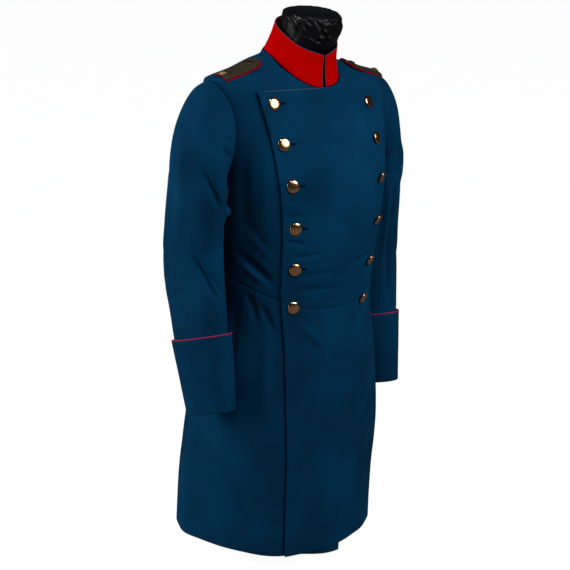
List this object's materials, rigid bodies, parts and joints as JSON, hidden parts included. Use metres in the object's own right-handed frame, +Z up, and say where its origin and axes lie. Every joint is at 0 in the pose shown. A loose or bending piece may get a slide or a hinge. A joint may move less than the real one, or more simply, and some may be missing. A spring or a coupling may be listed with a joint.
{
  "type": "frock coat on a limbless dress form",
  "caption": "Knee-length double-breasted blue frock coat with a red stand collar, piped turn-back cuffs and shoulder boards, worn by a limbless dress form on a round base.",
  "frame": {"origin": "centre of the stand base's underside", "axes": "+Z up; the coat faces -Y; the wearer's right is -X, the wearer's left is +X"},
  "size_m": [0.5653, 0.4177, 1.0955],
  "materials": {
    "wool": "fulled dark blue wool cloth, soft nap, faint sheen at grazing angles",
    "red_cloth": "fulled red wool cloth",
    "collar_piping": "blue wool piping cord",
    "cuff_piping": "crimson wool piping cord",
    "braid": "tarnished metallic braid, ribbed",
    "copper": "worn coppery metal, polished domes",
    "gilt": "gilt metal",
    "form_cloth": "black satin cotton cover",
    "stand_metal": "satin black paint"
  },
  "bodies": {
    "root": {"forepart_left": "wool", "forepart_right": "wool", "skirt_left": "wool", "skirt_right": "wool", "side_body_right": "wool", "side_body_left": "wool", "back_right": "wool", "back_left": "wool", "top_sleeve_right": "wool", "under_sleeve_right": "wool", "cuff_right": "wool", "cuff_piping_right": "cuff_piping", "board_underlay_right": "red_cloth", "board_right": "braid", "board_button_right": "copper", "board_pip_right": "gilt", "button_right_1": "copper", "button_right_2": "copper", "button_right_3": "copper", "button_right_4": "copper", "button_right_5": "copper", "button_right_6": "copper", "top_sleeve_left": "wool", "under_sleeve_left": "wool", "cuff_left": "wool", "cuff_piping_left": "cuff_piping", "board_underlay_left": "red_cloth", "board_left": "braid", "board_button_left": "copper", "board_pip_left": "gilt", "button_left_1": "copper", "button_left_2": "copper", "button_left_3": "copper", "button_left_4": "copper", "button_left_5": "copper", "button_left_6": "copper", "collar": "red_cloth", "collar_piping": "collar_piping", "form_torso": "form_cloth", "stand_post": "stand_metal", "stand_base": "stand_metal"}
  },
  "joints": []
}
